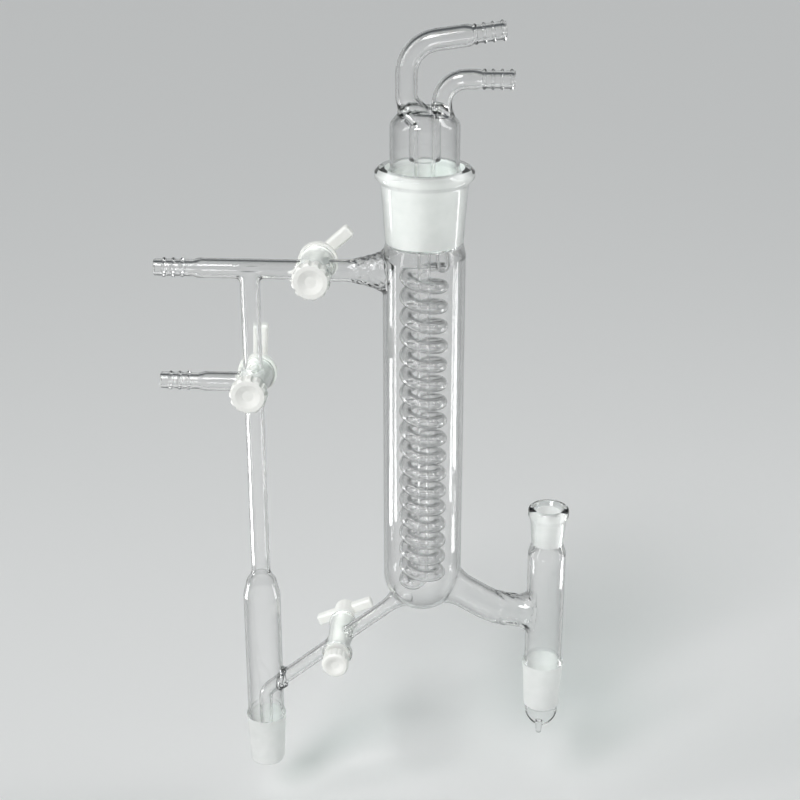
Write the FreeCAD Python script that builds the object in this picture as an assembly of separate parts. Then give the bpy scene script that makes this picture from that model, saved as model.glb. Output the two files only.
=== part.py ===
# Distillation head of blown borosilicate glass, with a coil condenser insert and three stopcocks.
# Millimetres, +Z up, +Y to the back. The origin is on the column's axis, at the wide end of its flask cone.

import FreeCAD, Part
import math
import os

Vector = FreeCAD.Vector
Rotation = FreeCAD.Rotation
Placement = FreeCAD.Placement

# Places of the upright tubes and of the arms between them
condenser_x = -72.5
manifold_x = -168.0
top_arm_z = 242.0
lower_arm_z = 175.5
hose_end_x = -220.5
top_stopcock_x = -132.0

# Ground joints: wide diameter, and the length that is ground, at a taper of one in ten
taper = 0.1
flask_joint = 24.0
flask_joint_length = 29.0
thermometer_joint = 14.5
thermometer_joint_length = 23.0
insert_joint = 40.0
insert_joint_length = 38.0
ground_film = 0.1

# Column: the tube that stands on the flask, with a socket for a thermometer on top
column_diameter = 22.0
column_wall = 1.5
column_rim_z = 102.0
socket_wall = 3.1
column_bead = 1.45
column_bead_height = 5.0
socket_shoulder = 6.0
cone_wall = 1.9
cone_end_length = 1.0
drip_lip = 19.5
drip_wall = 1.4
drip_back_z = -30.5
drip_front_z = -40.0
drip_side_slope = 12.0
drip_nub = 3.6
drip_nub_end_z = -45.0

# Condenser body
jacket_diameter = 45.0
jacket_wall = 1.8
jacket_bottom_z = 36.0
condenser_rim_z = 300.0
condenser_mouth_depth = 3.0
condenser_socket_wall = 3.1
condenser_bead = 3.7
condenser_bead_height = 5.5
condenser_neck = 2.0
condenser_shoulder = 6.0

# Receiver: the tube over the receiving flask, under the manifold
receiver_diameter = 22.0
receiver_wall = 1.5
receiver_cone_z = -43.5
receiver_end_length = 3.5
receiver_shoulder_z = 53.5
receiver_shoulder_height = 15.0
manifold_diameter = 11.0
manifold_wall = 1.5
top_arm_diameter = 11.0
inner_arm_diameter = 12.4
top_arm_wall = 1.4
arm_flare_diameter = 20.0
arm_flare_length = 15.0

# Vapour arm from the column to the condenser
vapour_diameter = 19.4
vapour_wall = 1.5
vapour_corner_reach = 30.0
vapour_corner_z = 35.3
vapour_slope = 30.0
vapour_end_slope = 6.0
vapour_bend = 36.0

# Take-off arm from the condenser down to the receiver, where it ends in a drip tube
takeoff_diameter = 8.5
takeoff_wall = 1.5
takeoff_reach = 16.0
takeoff_top_z = 38.0
takeoff_slope = 39.5
takeoff_bend = 11.0
drip_tube_diameter = 8.0
drip_tube_wall = 1.2
drip_tube_end_z = -54.0
takeoff_stopcock_along = 43.0

# Hose barbs
barb_root = 8.9
barb_crest = 10.8
barb_bore = 5.6
barb_first = 5.5
barb_pitch = 5.0
barb_ridges = 3
barb_shoulder = 3.0
arm_barb_length = 25.4
water_barb_length = 20.5

# Coil condenser insert, with its axis on the condenser's. Its rises are heights above the condenser's rim
bulb_diameter = 37.2
bulb_wall = 1.7
bulb_straight_rise = 23.5
bulb_rise = 31.0
bulb_straight_top_z = condenser_rim_z + bulb_straight_rise
bulb_top_z = condenser_rim_z + bulb_rise
bulb_top_diameter = 24.0
insert_cone_wall = 2.2
insert_bottom_drop = 2.5
water_tube = 11.6
water_tube_wall = 1.5
inlet_offset = 9.8
inlet_bend = 18.0
inlet_bend_rise = 49.2
inlet_bend_z = condenser_rim_z + inlet_bend_rise
inlet_rise = 8.4
inlet_run = 31.5
inlet_seal_drop = 15.0
outlet_tube = 10.0
outlet_tube_wall = 1.4
outlet_offset = 8.6
outlet_bend = 13.0
outlet_rise = 46.5
outlet_z = condenser_rim_z + outlet_rise
outlet_end = 46.5
coil_tube = 7.0
coil_wall = 1.25
coil_radius = 10.0
coil_pitch = 10.7
coil_turns = 17.5
coil_bottom_z = 54.0
coil_chords = 12
coil_sides = 10
coil_bore_sides = 6
coil_outlet_angle = 25.0

# Stopcocks of two sizes. Distances along the plug run from the arm's axis, back towards the handle.
running_gap = 0.09
seat_gap = 0.2
large = dict(
    barrel_front=11.0, barrel_back=13.5, bore_front=9.6, bore_back=14.5, wall=2.4,
    front_rim=17.5, back_rim=20.5, rim_width=2.6, port=4.0,
    disc=22.3, disc_thickness=4.0, hub=11.0, handle_back=27.5, handle_length=45.6,
    handle_width=7.2, handle_depth=7.0, stub=8.0,
    washer=15.0, washer_thickness=1.2, ring=1.8, nut=20.8, nut_thickness=8.2, flutes=12, flute_depth=1.2)
small = dict(
    barrel_front=18.0, barrel_back=19.0, bore_front=7.8, bore_back=11.5, wall=2.2,
    front_rim=17.8, back_rim=16.8, rim_width=2.6, port=3.0,
    disc=14.6, disc_thickness=2.4, hub=12.6, handle_back=32.8, handle_length=36.0,
    handle_width=6.0, handle_depth=6.0, stub=6.5,
    washer=15.4, washer_thickness=2.6, ring=1.8, nut=15.7, nut_thickness=8.4, flutes=16, flute_depth=0.4)
nut_face = 2.6
nut_dish = 1.2
stub_play = 0.5

# Handle angles at rest, measured up from the +X direction, and the three-way stopcock's longer handle
top_handle_angle = 42.0
three_way_handle_angle = 86.0
takeoff_handle_angle = 23.0
three_way_handle_length = 50.0

past = 1.0


def rounded_edges(corners):
    """Edges of a closed outline through corners (point, rounding), with tangent arcs at rounded corners."""
    spots = []
    for i, (corner, rounding) in enumerate(corners):
        before = corners[i - 1][0]
        after = corners[(i + 1) % len(corners)][0]
        if rounding == 0:
            spots.append((corner, None, corner))
            continue
        back = (before - corner).normalize()
        ahead = (after - corner).normalize()
        half = back.getAngle(ahead) / 2
        reach = rounding / math.tan(half)
        middle = (back + ahead).normalize() * (rounding / math.sin(half) - rounding)
        spots.append((corner + back * reach, corner + middle, corner + ahead * reach))
    edges = []
    for i, (start, middle, end) in enumerate(spots):
        if middle is not None:
            edges.append(Part.Arc(start, middle, end).toShape())
        following = spots[(i + 1) % len(spots)][0]
        if end.distanceToPoint(following) > 1e-6:
            edges.append(Part.LineSegment(end, following).toShape())
    return edges


def turned(outline):
    """A solid turned about the Z axis from corners (radius, height) or (radius, height, rounding)."""
    corners = []
    for corner in outline:
        rounding = corner[2] if len(corner) > 2 else 0
        corners.append((Vector(corner[0], 0, corner[1]), rounding))
    face = Part.Face(Part.Wire(rounded_edges(corners)))
    solid = face.revolve(Vector(0, 0, 0), Vector(0, 0, 1), 360)
    return solid


def moved(shape, x, y, z):
    copy = shape.copy()
    copy.translate(Vector(x, y, z))
    return copy


def aimed(shape, base, direction):
    """The shape with its Z axis turned to a direction and its origin at base."""
    copy = shape.copy()
    copy.Placement = Placement(base, Rotation(Vector(0, 0, 1), direction))
    return copy


def rod(start, end, radius):
    along = end - start
    return Part.makeCylinder(radius, along.Length, start, along)


def bent_rod(points, bend, radius):
    """A round rod along straight runs joined by tangent arcs of one radius."""
    edges = []
    last = points[0]
    for i in range(1, len(points) - 1):
        back = (points[i - 1] - points[i]).normalize()
        ahead = (points[i + 1] - points[i]).normalize()
        half = back.getAngle(ahead) / 2
        reach = bend / math.tan(half)
        middle = (back + ahead).normalize() * (bend / math.sin(half) - bend)
        start = points[i] + back * reach
        end = points[i] + ahead * reach
        edges.append(Part.LineSegment(last, start).toShape())
        edges.append(Part.Arc(start, points[i] + middle, end).toShape())
        last = end
    edges.append(Part.LineSegment(last, points[-1]).toShape())
    section = Part.Wire([Part.makeCircle(radius, points[0], points[1] - points[0])])
    return Part.Wire(edges).makePipeShell([section], True, False)


def joined(shapes):
    return shapes[0].multiFuse(shapes[1:]) if len(shapes) > 1 else shapes[0]


def barb_outside(stem_radius, length):
    """A ridged hose end. It begins at the origin and grows into its stem along +Z."""
    root = barb_root / 2
    outline = [(0, 0), (root, 0)]
    for i in range(barb_ridges):
        crest_z = barb_first + i * barb_pitch
        outline.append((root, crest_z - 0.45 * barb_pitch))
        outline.append((barb_crest / 2, crest_z))
    outline.append((root, barb_first + (barb_ridges - 0.5) * barb_pitch))
    outline.append((root, length - barb_shoulder))
    outline.append((stem_radius, length))
    outline.append((0, length))
    return turned(outline)


def barb_hollow(stem_bore_radius, length):
    bore = barb_bore / 2
    neck = length - barb_shoulder
    return turned([(0, -past), (bore, -past), (bore, neck), (stem_bore_radius, length), (0, length)])


def arm_direction(slope):
    """A unit vector towards -X and down by the slope."""
    angle = math.radians(slope)
    return Vector(-math.cos(angle), 0, -math.sin(angle))


def column_outside():
    tube = column_diameter / 2
    lip = drip_lip / 2
    socket = thermometer_joint / 2 + socket_wall
    socket_end = column_rim_z - thermometer_joint_length
    socket_low = socket - thermometer_joint_length * taper / 2
    cone_top = flask_joint / 2
    cone_end = cone_top - flask_joint_length * taper / 2
    return turned([
        (0, column_rim_z),
        (socket + column_bead, column_rim_z, 1.5),
        (socket + column_bead, column_rim_z - column_bead_height, 1.5),
        (socket, column_rim_z - column_bead_height - 2),
        (socket_low, socket_end),
        (tube, socket_end - socket_shoulder, 2),
        (tube, 3),
        (cone_top, 0),
        (cone_end, -flask_joint_length),
        (lip, -flask_joint_length - cone_end_length),
        (lip, drip_front_z - past),
        (0, drip_front_z - past),
    ])


def column_hollow():
    socket = thermometer_joint / 2
    socket_end = column_rim_z - thermometer_joint_length
    tube = column_diameter / 2 - column_wall
    lip = drip_lip / 2 - drip_wall
    cone_top = flask_joint / 2 - cone_wall
    return turned([
        (0, column_rim_z + past),
        (socket, column_rim_z + past),
        (socket, column_rim_z - 1),
        (socket - thermometer_joint_length * taper / 2, socket_end),
        (tube, socket_end - socket_shoulder - 1),
        (tube, 4),
        (cone_top, -1),
        (lip, -flask_joint_length),
        (lip, drip_front_z - 2 * past),
        (0, drip_front_z - 2 * past),
    ])


def drip_cuts():
    """The blocks that cut the column's lower lip at a slant to its point."""
    radius = drip_lip / 2
    slope = math.degrees(math.atan2(drip_back_z - drip_front_z, 2 * radius))
    size = 4 * radius
    blocks = []
    for side in (1, -1):
        block = Part.makeBox(size, size, size, Vector(-size / 2, -size / 2, -size))
        block.rotate(Vector(0, 0, 0), Vector(0, 1, 0), side * drip_side_slope)
        block.rotate(Vector(0, 0, 0), Vector(1, 0, 0), slope)
        block.translate(Vector(0, 0, (drip_back_z + drip_front_z) / 2))
        blocks.append(block)
    return blocks


def drip_nub_rod():
    """The small drawn nub at the lip's lowest point, from which the drops fall."""
    radius = drip_nub / 2
    front = -(drip_lip - drip_wall) / 2
    top_z = drip_front_z + 3
    length = top_z - drip_nub_end_z - radius
    nub = Part.makeCone(radius * 1.2, radius, length, Vector(0, front, top_z), Vector(0, 0, -1))
    ball = Part.makeSphere(radius, Vector(0, front, drip_nub_end_z + radius))
    return nub.fuse(ball)


def condenser_outside():
    jacket = jacket_diameter / 2
    socket = insert_joint / 2 + condenser_socket_wall
    ground_top = condenser_rim_z - condenser_mouth_depth
    ground_low = ground_top - insert_joint_length
    socket_low = socket - insert_joint_length * taper / 2
    body = turned([
        (0, condenser_rim_z),
        (socket + condenser_bead - 2.2, condenser_rim_z),
        (socket + condenser_bead, condenser_rim_z - 2.2, 1.2),
        (socket + condenser_bead, condenser_rim_z - condenser_bead_height, 1.5),
        (socket, condenser_rim_z - condenser_bead_height - 3),
        (socket_low, ground_low - 0.5),
        (jacket, ground_low - condenser_shoulder, 2),
        (jacket, jacket_bottom_z + jacket),
        (0, jacket_bottom_z + jacket),
    ])
    dome = Part.makeSphere(jacket, Vector(0, 0, jacket_bottom_z + jacket), Vector(0, 0, 1), -90, 0, 360)
    return moved(body.fuse(dome), condenser_x, 0, 0)


def condenser_hollow():
    bore = jacket_diameter / 2 - jacket_wall
    socket = insert_joint / 2
    ground_top = condenser_rim_z - condenser_mouth_depth
    ground_low = ground_top - insert_joint_length
    socket_low = socket - insert_joint_length * taper / 2
    equator = jacket_bottom_z + jacket_diameter / 2
    body = turned([
        (0, condenser_rim_z + past),
        (socket + 0.8, condenser_rim_z + past),
        (socket + 0.8, condenser_rim_z),
        (socket, ground_top),
        (socket_low, ground_low),
        (socket_low, ground_low - condenser_neck),
        (bore, ground_low - condenser_neck - condenser_shoulder),
        (bore, equator),
        (0, equator),
    ])
    dome = Part.makeSphere(bore, Vector(0, 0, equator), Vector(0, 0, 1), -90, 0, 360)
    return moved(body.fuse(dome), condenser_x, 0, 0)


def receiver_outside():
    tube = receiver_diameter / 2
    narrow = manifold_diameter / 2
    cone_top = flask_joint / 2
    cone_end = cone_top - flask_joint_length * taper / 2
    cone_end_z = receiver_cone_z - flask_joint_length
    shape = turned([
        (0, top_arm_z),
        (narrow, top_arm_z),
        (narrow, receiver_shoulder_z, 3),
        (tube, receiver_shoulder_z - 0.45 * receiver_shoulder_height, 7),
        (tube, receiver_cone_z + 3),
        (cone_top, receiver_cone_z),
        (cone_end, cone_end_z),
        (cone_end - 0.4, cone_end_z - receiver_end_length),
        (0, cone_end_z - receiver_end_length),
    ])
    return moved(shape, manifold_x, 0, 0)


def receiver_hollow():
    tube = receiver_diameter / 2 - receiver_wall
    narrow = manifold_diameter / 2 - manifold_wall
    cone_top = flask_joint / 2 - cone_wall
    cone_end = cone_top - flask_joint_length * taper / 2
    end_z = receiver_cone_z - flask_joint_length - receiver_end_length
    stop = lower_arm_z - barrel_clear(large)
    shape = turned([
        (0, stop),
        (narrow, stop),
        (narrow, receiver_shoulder_z - 1, 3),
        (tube, receiver_shoulder_z - 1.5 - 0.45 * receiver_shoulder_height, 6),
        (tube, receiver_cone_z + 4),
        (cone_top, receiver_cone_z - 1),
        (cone_end, receiver_cone_z - flask_joint_length),
        (cone_end, end_z - past),
        (0, end_z - past),
    ])
    return moved(shape, manifold_x, 0, 0)


def plug_radius_at(size, along):
    """The plug bore's radius at a distance back from the arm's axis."""
    length = size["barrel_front"] + size["barrel_back"]
    share = (along + size["barrel_front"]) / length
    return (size["bore_front"] + (size["bore_back"] - size["bore_front"]) * share) / 2


def barrel_clear(size):
    """How near an arm's bore comes to the plug's axis before it narrows to the port."""
    return plug_radius_at(size, 0) + size["wall"] - 0.7


def barrel_outside(size):
    """The stopcock's barrel about the Z axis, its handle end towards +Z."""
    front = -size["barrel_front"]
    back = size["barrel_back"]
    rim = size["rim_width"]
    wall = size["wall"]
    return turned([
        (0, front),
        (size["front_rim"] / 2 - 0.6, front),
        (size["front_rim"] / 2, front + 0.6),
        (size["front_rim"] / 2, front + rim * 0.6),
        (plug_radius_at(size, front + rim * 1.6) + wall, front + rim * 1.6),
        (plug_radius_at(size, back - rim * 1.5) + wall, back - rim * 1.5),
        (size["back_rim"] / 2, back - rim * 0.7),
        (size["back_rim"] / 2, back - 0.6),
        (size["back_rim"] / 2 - 0.6, back),
        (0, back),
    ])


def barrel_hollow(size):
    front = -size["barrel_front"] - past
    back = size["barrel_back"] + past
    low, high = plug_radius_at(size, front), plug_radius_at(size, back)
    return turned([(0, front), (low, front), (high, back), (0, back)])


def top_arm_outside():
    radius = top_arm_diameter / 2
    inner = inner_arm_diameter / 2
    wall_x = condenser_x - jacket_diameter / 2
    start = Vector(hose_end_x, 0, top_arm_z)
    stopcock = Vector(top_stopcock_x, 0, top_arm_z)
    stem = rod(start + Vector(arm_barb_length, 0, 0), stopcock, radius)
    right = rod(stopcock, Vector(wall_x + 6, 0, top_arm_z), inner)
    flare = turned([
        (0, -arm_flare_length),
        (inner, -arm_flare_length),
        (inner + 1.6, -arm_flare_length * 0.6),
        (arm_flare_diameter / 2, 2),
        (0, 2),
    ])
    barb = aimed(barb_outside(radius, arm_barb_length), start, Vector(1, 0, 0))
    return joined([barb, stem, right, aimed(flare, Vector(wall_x, 0, top_arm_z), Vector(1, 0, 0))])


def top_arm_hollow():
    radius = top_arm_diameter / 2 - top_arm_wall
    inner = inner_arm_diameter / 2 - top_arm_wall
    wall_x = condenser_x - jacket_diameter / 2
    start = Vector(hose_end_x, 0, top_arm_z)
    clear = Vector(barrel_clear(large), 0, 0)
    stopcock = Vector(top_stopcock_x, 0, top_arm_z)
    left = rod(start + Vector(arm_barb_length, 0, 0), stopcock - clear, radius)
    right = rod(stopcock + clear, Vector(wall_x + 4, 0, top_arm_z), inner)
    flare = turned([
        (0, -arm_flare_length * 0.9),
        (inner, -arm_flare_length * 0.9),
        (inner + 1.6, -arm_flare_length * 0.5),
        (arm_flare_diameter / 2 - top_arm_wall, 3),
        (0, 3),
    ])
    barb = aimed(barb_hollow(radius, arm_barb_length), start, Vector(1, 0, 0))
    port = rod(stopcock - clear * 1.1, stopcock + clear * 1.1, large["port"] / 2)
    return [barb, left, right, aimed(flare, Vector(wall_x, 0, top_arm_z), Vector(1, 0, 0)), port]


def manifold_hollow():
    """The bore between the top arm and the three-way stopcock, and that stopcock's ports."""
    radius = manifold_diameter / 2 - manifold_wall
    centre = Vector(manifold_x, 0, lower_arm_z)
    clear = barrel_clear(large)
    upper = rod(Vector(manifold_x, 0, lower_arm_z + clear), Vector(manifold_x, 0, top_arm_z), radius)
    port_reach = clear * 1.1
    upright = rod(centre - Vector(0, 0, port_reach), centre + Vector(0, 0, port_reach), large["port"] / 2)
    side = rod(centre - Vector(port_reach, 0, 0), centre, large["port"] / 2)
    return [upper, upright, side]


def lower_arm_outside():
    radius = top_arm_diameter / 2
    start = Vector(hose_end_x, 0, lower_arm_z)
    barb = aimed(barb_outside(radius, arm_barb_length), start, Vector(1, 0, 0))
    stem = rod(start + Vector(arm_barb_length, 0, 0), Vector(manifold_x, 0, lower_arm_z), radius)
    return barb.fuse(stem)


def lower_arm_hollow():
    radius = top_arm_diameter / 2 - top_arm_wall
    start = Vector(hose_end_x, 0, lower_arm_z)
    end = Vector(manifold_x - barrel_clear(large), 0, lower_arm_z)
    barb = aimed(barb_hollow(radius, arm_barb_length), start, Vector(1, 0, 0))
    stem = rod(start + Vector(arm_barb_length, 0, 0), end, radius)
    return [barb, stem]


def takeoff_start():
    return Vector(condenser_x - takeoff_reach, 0, takeoff_top_z)


def takeoff_stopcock():
    return takeoff_start() + arm_direction(takeoff_slope) * takeoff_stopcock_along


def takeoff_corner():
    """Where the take-off arm's line meets the receiver's axis."""
    run = (takeoff_start().x - manifold_x) / math.cos(math.radians(takeoff_slope))
    return takeoff_start() + arm_direction(takeoff_slope) * run


def takeoff_outside():
    radius = takeoff_diameter / 2
    inside = takeoff_start() - arm_direction(takeoff_slope) * 8
    wall = manifold_x + receiver_diameter / 2 - receiver_wall / 2
    run = (takeoff_start().x - wall) / math.cos(math.radians(takeoff_slope))
    end = takeoff_start() + arm_direction(takeoff_slope) * run
    flare = turned([(0, -3), (radius + 3.6, -3), (radius + 1.2, 6), (radius, 14), (0, 14)])
    flare = aimed(flare, takeoff_start(), arm_direction(takeoff_slope))
    return rod(inside, end, radius).fuse(flare)


def drip_tube(radius):
    """The take-off arm's end inside the receiver: on to the receiver's axis, then straight down."""
    wall = manifold_x + receiver_diameter / 2 - receiver_wall / 2
    run = (takeoff_start().x - wall) / math.cos(math.radians(takeoff_slope))
    start = takeoff_start() + arm_direction(takeoff_slope) * run
    corner = takeoff_corner()
    end = Vector(manifold_x, 0, drip_tube_end_z)
    return bent_rod([start, corner, end], takeoff_bend, radius)


def takeoff_hollow():
    radius = takeoff_diameter / 2 - takeoff_wall
    along = arm_direction(takeoff_slope)
    clear = barrel_clear(small)
    centre = takeoff_stopcock()
    bore = drip_tube_diameter / 2 - drip_tube_wall
    wall = manifold_x + receiver_diameter / 2 - receiver_wall / 2
    run = (takeoff_start().x - wall) / math.cos(math.radians(takeoff_slope))
    seal = takeoff_start() + along * run
    upper = rod(takeoff_start() - along * 8, centre - along * clear, radius)
    lower = rod(centre + along * clear, seal, radius)
    port = rod(centre - along * (clear * 1.1), centre + along * (clear * 1.1), small["port"] / 2)
    end = Vector(manifold_x, 0, drip_tube_end_z - past)
    drip = bent_rod([seal - along, takeoff_corner(), end], takeoff_bend, bore)
    return [upper, lower, port, drip]


def vapour_line():
    """Points of the vapour arm's axis, from inside the condenser to inside the column."""
    corner = Vector(-vapour_corner_reach, 0, vapour_corner_z)
    up = math.tan(math.radians(vapour_slope))
    down = math.tan(math.radians(vapour_end_slope))
    start_x = condenser_x + jacket_diameter / 2 - 9
    start = Vector(start_x, 0, vapour_corner_z + (corner.x - start_x) * up)
    end_x = -column_diameter / 2 + 5
    end = Vector(end_x, 0, vapour_corner_z - (end_x - corner.x) * down)
    return [start, corner, end]


def barrels(make):
    """A barrel shape of each stopcock, at its place, with the plug's axis along Y."""
    backwards = Vector(0, 1, 0)
    return [
        aimed(make(large), Vector(top_stopcock_x, 0, top_arm_z), backwards),
        aimed(make(large), Vector(manifold_x, 0, lower_arm_z), backwards),
        aimed(make(small), takeoff_stopcock(), backwards),
    ]


def glass_head():
    """All the fused glass: column, arms, condenser body, receiver, manifold and barrels."""
    vapour_bore = vapour_diameter / 2 - vapour_wall
    outside = [
        column_outside(),
        condenser_outside(),
        receiver_outside(),
        top_arm_outside(),
        lower_arm_outside(),
        takeoff_outside(),
        bent_rod(vapour_line(), vapour_bend, vapour_diameter / 2),
    ]
    outside += barrels(barrel_outside)
    hollow = [column_hollow(), condenser_hollow(), receiver_hollow()]
    hollow += [bent_rod(vapour_line(), vapour_bend, vapour_bore)]
    hollow += top_arm_hollow() + manifold_hollow() + lower_arm_hollow()
    shell = joined(outside).cut(joined(hollow)).cut(joined(drip_cuts()))
    shell = shell.multiFuse([drip_tube(drip_tube_diameter / 2), drip_nub_rod()])
    return shell.cut(joined(takeoff_hollow() + barrels(barrel_hollow)))


def insert_outside():
    cone_top = insert_joint / 2 - ground_film
    top_z = condenser_rim_z - condenser_mouth_depth
    low_z = top_z - insert_joint_length
    cone_low = cone_top - insert_joint_length * taper / 2
    return turned([
        (0, low_z - insert_bottom_drop),
        (cone_low - 0.2, low_z - insert_bottom_drop, 3),
        (cone_low, low_z + 2),
        (cone_top, top_z),
        (bulb_diameter / 2, top_z + 3),
        (bulb_diameter / 2, bulb_straight_top_z, 3),
        (bulb_top_diameter / 2, bulb_top_z, 2),
        (0, bulb_top_z),
    ])


def insert_hollow():
    cone_top = insert_joint / 2 - insert_cone_wall
    top_z = condenser_rim_z - condenser_mouth_depth
    low_z = top_z - insert_joint_length
    cone_low = cone_top - insert_joint_length * taper / 2
    bulb = bulb_diameter / 2 - bulb_wall
    return turned([
        (0, low_z),
        (cone_low - 0.4, low_z, 1.5),
        (cone_low, low_z + 4),
        (cone_top, top_z),
        (bulb, top_z + 3),
        (bulb, bulb_straight_top_z - 0.6, 2.5),
        (bulb_top_diameter / 2 - 0.7, bulb_top_z - bulb_wall),
        (0, bulb_top_z - bulb_wall),
    ])


def coil_points():
    """The water's way: down the central tube's foot, up the coil's left-hand turns, into the closed cone."""
    foot_z = coil_bottom_z - coil_tube * 0.1
    lead_in = -0.54 * coil_radius
    above = Vector(0, 0, coil_bottom_z + coil_pitch)
    points = [above, Vector(0, 0, foot_z), Vector(lead_in, lead_in, foot_z)]
    for i in range(round(coil_turns * coil_chords) + 1):
        angle = math.pi - 2 * math.pi * i / coil_chords
        z = coil_bottom_z + coil_pitch * i / coil_chords
        points.append(Vector(coil_radius * math.cos(angle), coil_radius * math.sin(angle), z))
    lead_out = math.radians(-coil_outlet_angle)
    side = Vector(coil_radius * math.cos(lead_out), coil_radius * math.sin(lead_out), points[-1].z + 1.5)
    cone_floor = condenser_rim_z - condenser_mouth_depth - insert_joint_length
    return points + [side, Vector(side.x, side.y, cone_floor + past / 2)]


def coil(diameter, sides):
    """The coil's tube, drawn with flats along its path and round its section."""
    points = coil_points()
    along = (points[1] - points[0]).normalize()
    across = along.cross(Vector(1, 0, 0)).normalize()
    upright = along.cross(across)
    ring = []
    for i in range(sides):
        angle = 2 * math.pi * i / sides
        out = across * (diameter / 2 * math.cos(angle)) + upright * (diameter / 2 * math.sin(angle))
        ring.append(points[0] + out)
    section = Part.makePolygon(ring + ring[:1])
    return Part.makePolygon(points).makePipeShell([section], True, False, 1)


def inlet_line():
    """The water inlet's axis: from the hose, bent down to the bulb's top, and over to the middle inside."""
    rise = math.radians(inlet_rise)
    side = Vector(-inlet_offset, 0, 0)
    corner = side + Vector(0, 0, inlet_bend_z + inlet_bend * math.tan((math.pi / 2 - rise) / 2))
    end = corner + Vector(math.cos(rise), 0, math.sin(rise)) * inlet_run
    inner_z = bulb_top_z - inlet_seal_drop
    return [
        end,
        corner,
        side + Vector(0, 0, bulb_top_z - 2),
        Vector(-0.15 * inlet_offset, 0, inner_z + 2),
    ]


def inlet_hose_start():
    line = inlet_line()
    return line[0], (line[1] - line[0]).normalize()


def central_tube(radius_top, radius_low):
    """The straight tube down the middle of the coil, narrower below the bulb."""
    top = bulb_top_z - inlet_seal_drop + 3.5
    return turned([
        (0, coil_bottom_z + 4),
        (radius_low, coil_bottom_z + 4),
        (radius_low, top - 36),
        (radius_top, top - 26),
        (radius_top, top - 2, 0),
        (radius_top * 0.8, top),
        (0, top),
    ])


def outlet_line():
    corner = Vector(outlet_offset, 0, outlet_z)
    return [
        Vector(outlet_end - water_barb_length + 2, 0, outlet_z),
        corner,
        Vector(outlet_offset, 0, bulb_top_z - 1),
    ]


def inlet_rod(radius):
    """The inlet's tube from the barb down to its seal inside the bulb."""
    line = inlet_line()
    upper = bent_rod(line[:3], inlet_bend, radius)
    lower = rod(line[2] + Vector(0, 0, 1.5), line[3], radius)
    ball = Part.makeSphere(radius, line[2])
    return joined([upper, lower, ball])


def flare(radius, extra, height):
    """A tube's widened foot where it meets the bulb, standing on the XY plane."""
    wide, middle = radius + extra, radius + extra * 0.35
    return turned([(0, -2.5), (wide, -2.5), (middle, height * 0.4), (radius, height), (0, height)])


def coil_condenser():
    """The insert: ground cone and bulb, the central tube, the coil, and the two water connections."""
    start, along = inlet_hose_start()
    hose_end = start - along * (water_barb_length - 0.2)
    inlet_radius = water_tube / 2
    inlet_bore = inlet_radius - water_tube_wall
    outlet_radius = outlet_tube / 2
    outlet_bore = outlet_radius - outlet_tube_wall
    outlet_start = Vector(outlet_end, 0, outlet_z)
    stem_z = Vector(-1, 0, 0)
    tube = coil_tube / 2
    shell = insert_outside().cut(insert_hollow())
    tubes = [
        shell,
        central_tube(tube + 1.5, tube),
        coil(coil_tube, coil_sides),
        inlet_rod(inlet_radius),
        aimed(barb_outside(inlet_radius, water_barb_length), hose_end, along),
        bent_rod(outlet_line(), outlet_bend, outlet_radius),
        aimed(barb_outside(outlet_radius, water_barb_length), outlet_start, stem_z),
        moved(flare(inlet_radius, 1.8, 6), -inlet_offset, 0, bulb_top_z),
        moved(flare(outlet_radius, 1.5, 1.8), outlet_offset, 0, bulb_top_z),
    ]
    outlet_foot = Vector(outlet_offset, 0, bulb_top_z - 2 * bulb_wall)
    bores = [
        central_tube(tube + 1.5 - coil_wall, tube - coil_wall),
        coil(coil_tube - 2 * coil_wall, coil_bore_sides),
        inlet_rod(inlet_bore),
        aimed(barb_hollow(inlet_bore, water_barb_length), hose_end, along),
        bent_rod(outlet_line()[:2] + [outlet_foot], outlet_bend, outlet_bore),
        aimed(barb_hollow(outlet_bore, water_barb_length), outlet_start, stem_z),
    ]
    insert = joined(tubes).cut(joined(bores))
    return moved(insert, condenser_x, 0, 0)


def plug(size, three_way):
    """A stopcock's plug about the Z axis: stub, taper with its bore, disc, hub and T-handle along X."""
    front = -size["barrel_front"] - seat_gap
    back = size["barrel_back"] + seat_gap * 3
    radius_front = plug_radius_at(size, front) - running_gap
    radius_back = plug_radius_at(size, back) - running_gap
    disc_end = back + size["disc_thickness"]
    hub_end = size["handle_back"] + size["handle_depth"] / 2 + 0.8
    stub = size["stub"] / 2
    stub_end = front - stack_height(size) - size["nut_thickness"] + nut_face + stub_play
    body = turned([
        (0, stub_end),
        (stub - 0.6, stub_end),
        (stub, stub_end + 0.6),
        (stub, front),
        (radius_front, front),
        (radius_back, back),
        (size["disc"] / 2, back),
        (size["disc"] / 2, disc_end - 0.7),
        (size["disc"] / 2 - 0.7, disc_end),
        (size["hub"] / 2, disc_end),
        (size["hub"] / 2, hub_end - 1),
        (size["hub"] / 2 - 1, hub_end),
        (0, hub_end),
    ])
    length = three_way_handle_length if three_way else size["handle_length"]
    width = size["handle_width"]
    depth = size["handle_depth"]
    corner = Vector(-length / 2, -width / 2, size["handle_back"] - depth / 2)
    bar = Part.makeBox(length, width, depth, corner)
    bar = bar.makeFillet(width * 0.22, bar.Edges)
    shape = body.fuse(bar)
    reach = size["bore_back"]
    port = size["port"] / 2
    shape = shape.cut(rod(Vector(-reach, 0, 0), Vector(reach, 0, 0), port))
    if three_way:
        shape = shape.cut(rod(Vector(0, -reach, 0), Vector(0, 0, 0), port))
    return shape


def stack_height(size):
    """Room for the washer and the squeezed ring between the plug's shoulder and the nut."""
    return size["washer_thickness"] + size["ring"] + 2 * seat_gap


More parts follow.
